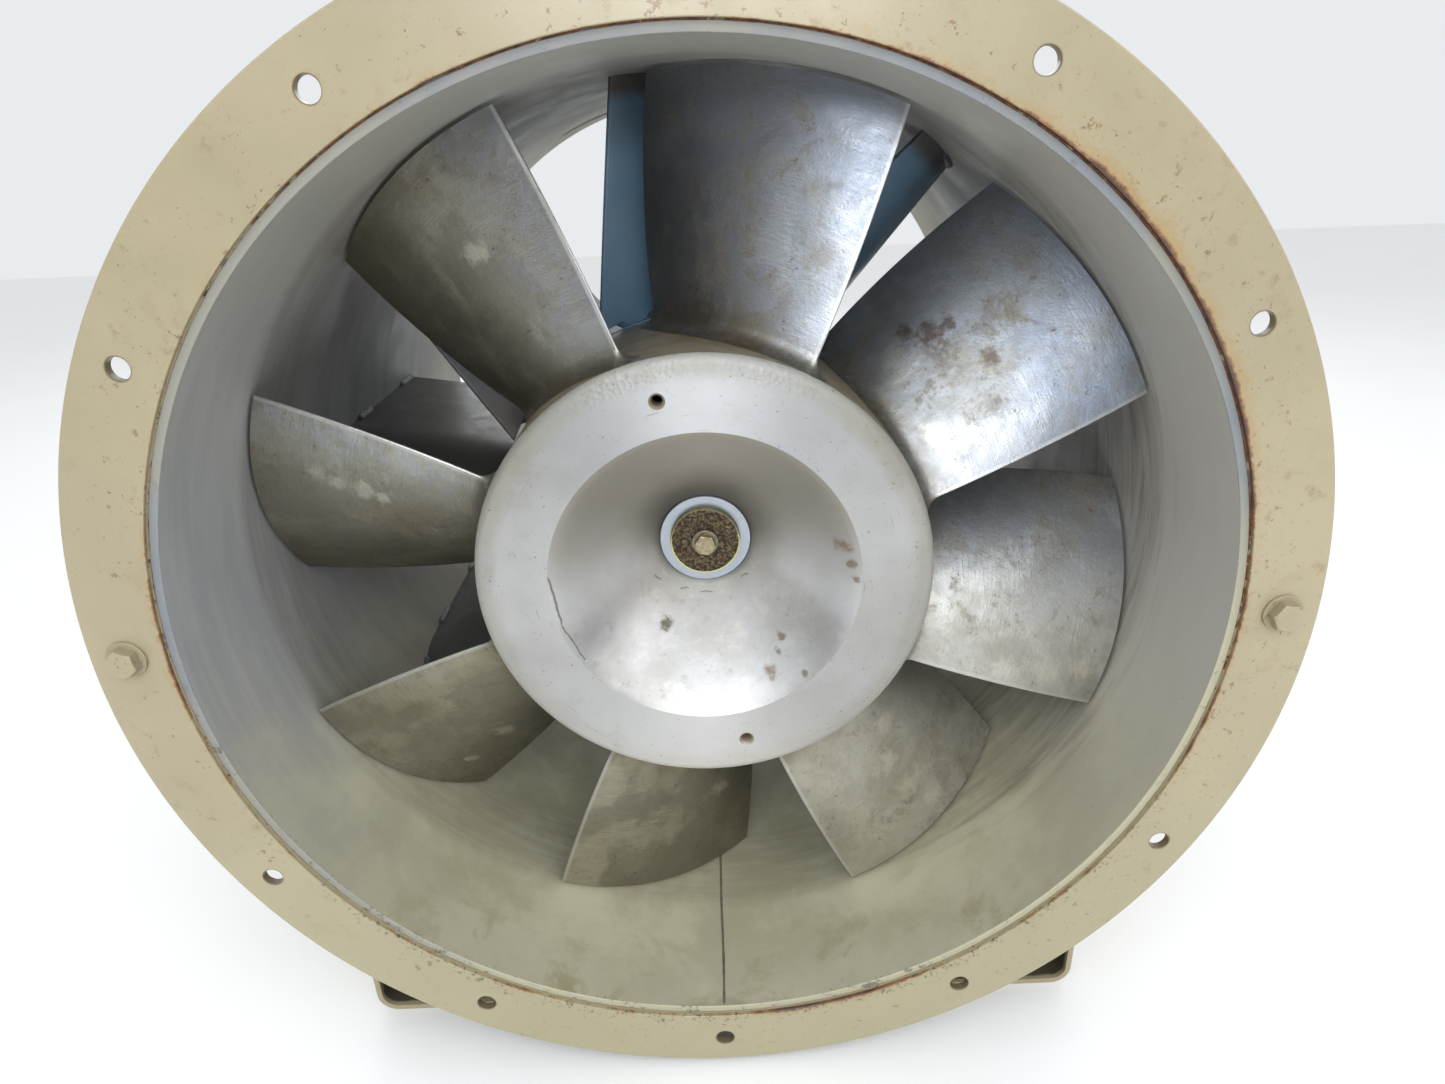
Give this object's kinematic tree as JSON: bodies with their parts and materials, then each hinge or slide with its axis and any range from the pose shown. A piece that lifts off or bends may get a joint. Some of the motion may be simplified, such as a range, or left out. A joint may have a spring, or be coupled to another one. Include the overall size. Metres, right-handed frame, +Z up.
{
  "type": "ducted axial fan",
  "caption": "Ducted axial fan: flanged tube casing on saddles, one-piece bladed rotor, straightening vanes and a direct-drive motor in an inner barrel.",
  "frame": {"origin": "on the floor under the fan axis, at the centre of the four foot holes, midway between the two flanges", "axes": "+Z up, +Y along the fan axis from the inlet to the outlet, +X to the right seen from the inlet"},
  "size_m": [0.8859, 0.8004, 0.8425],
  "materials": {
    "flange_paint": "cream enamel, worn, with rust specks",
    "casing_paint": "blue-grey primer with brown dust",
    "vane_paint": "slate blue enamel",
    "cast_aluminium": "sand cast, part ground, stained",
    "yellow_zinc": "yellow zinc, tarnished",
    "plain_steel": "machined",
    "core_steel": "varnished laminations",
    "copper_wire": "varnished copper",
    "motor_paint": "dark grey enamel",
    "dark_fasteners": "black oxide",
    "galvanised_steel": "galvanised",
    "black_rubber": "matt",
    "black_nylon": "fine grain"
  },
  "bodies": {
    "casing": {"casing_tube": "casing_paint", "inlet_flange": "flange_paint", "outlet_flange": "flange_paint", "inner_barrel": "vane_paint", "motor_plate": "vane_paint", "inlet_saddle_rim": "flange_paint", "inlet_saddle_web": "flange_paint", "outlet_saddle_rim": "flange_paint", "outlet_saddle_web": "flange_paint", "flange_bolts": "flange_paint", "flange_washers": "flange_paint", "flange_nuts": "flange_paint", "front_bearing_outer": "plain_steel", "rear_bearing_outer": "plain_steel", "motor_frame": "motor_paint", "front_end_bell": "motor_paint", "rear_end_bell": "motor_paint", "stator_core": "core_steel", "stator_windings": "copper_wire", "end_bell_screws": "dark_fasteners", "motor_bolts": "dark_fasteners", "motor_lock_washers": "dark_fasteners", "conduit_pipe": "galvanised_steel", "conduit_locknuts": "galvanised_steel", "terminal_box": "motor_paint", "terminal_box_bracket": "flange_paint", "terminal_box_gasket": "black_rubber", "terminal_box_lid": "motor_paint", "terminal_box_screws": "dark_fasteners", "cable_gland": "black_nylon", "guide_vane_1": "vane_paint", "guide_vane_2": "vane_paint", "guide_vane_3": "vane_paint", "guide_vane_4": "vane_paint", "guide_vane_5": "vane_paint", "guide_vane_6": "vane_paint", "guide_vane_7": "vane_paint", "guide_vane_8": "vane_paint", "guide_vane_9": "vane_paint"},
    "rotor": {"impeller": "cast_aluminium", "impeller_key": "plain_steel", "motor_shaft": "plain_steel", "rotor_core": "core_steel", "shaft_end_washer": "yellow_zinc", "shaft_lock_washer": "plain_steel", "shaft_end_bolt": "yellow_zinc", "front_bearing_inner": "plain_steel", "front_bearing_balls": "plain_steel", "rear_bearing_inner": "plain_steel", "rear_bearing_balls": "plain_steel"}
  },
  "joints": [
    {"name": "rotor_spin", "type": "hinge", "parent": "casing", "child": "rotor", "pos_m": [0, 0, 0.426], "axis": [0, 1, 0], "continuous": true}
  ]
}
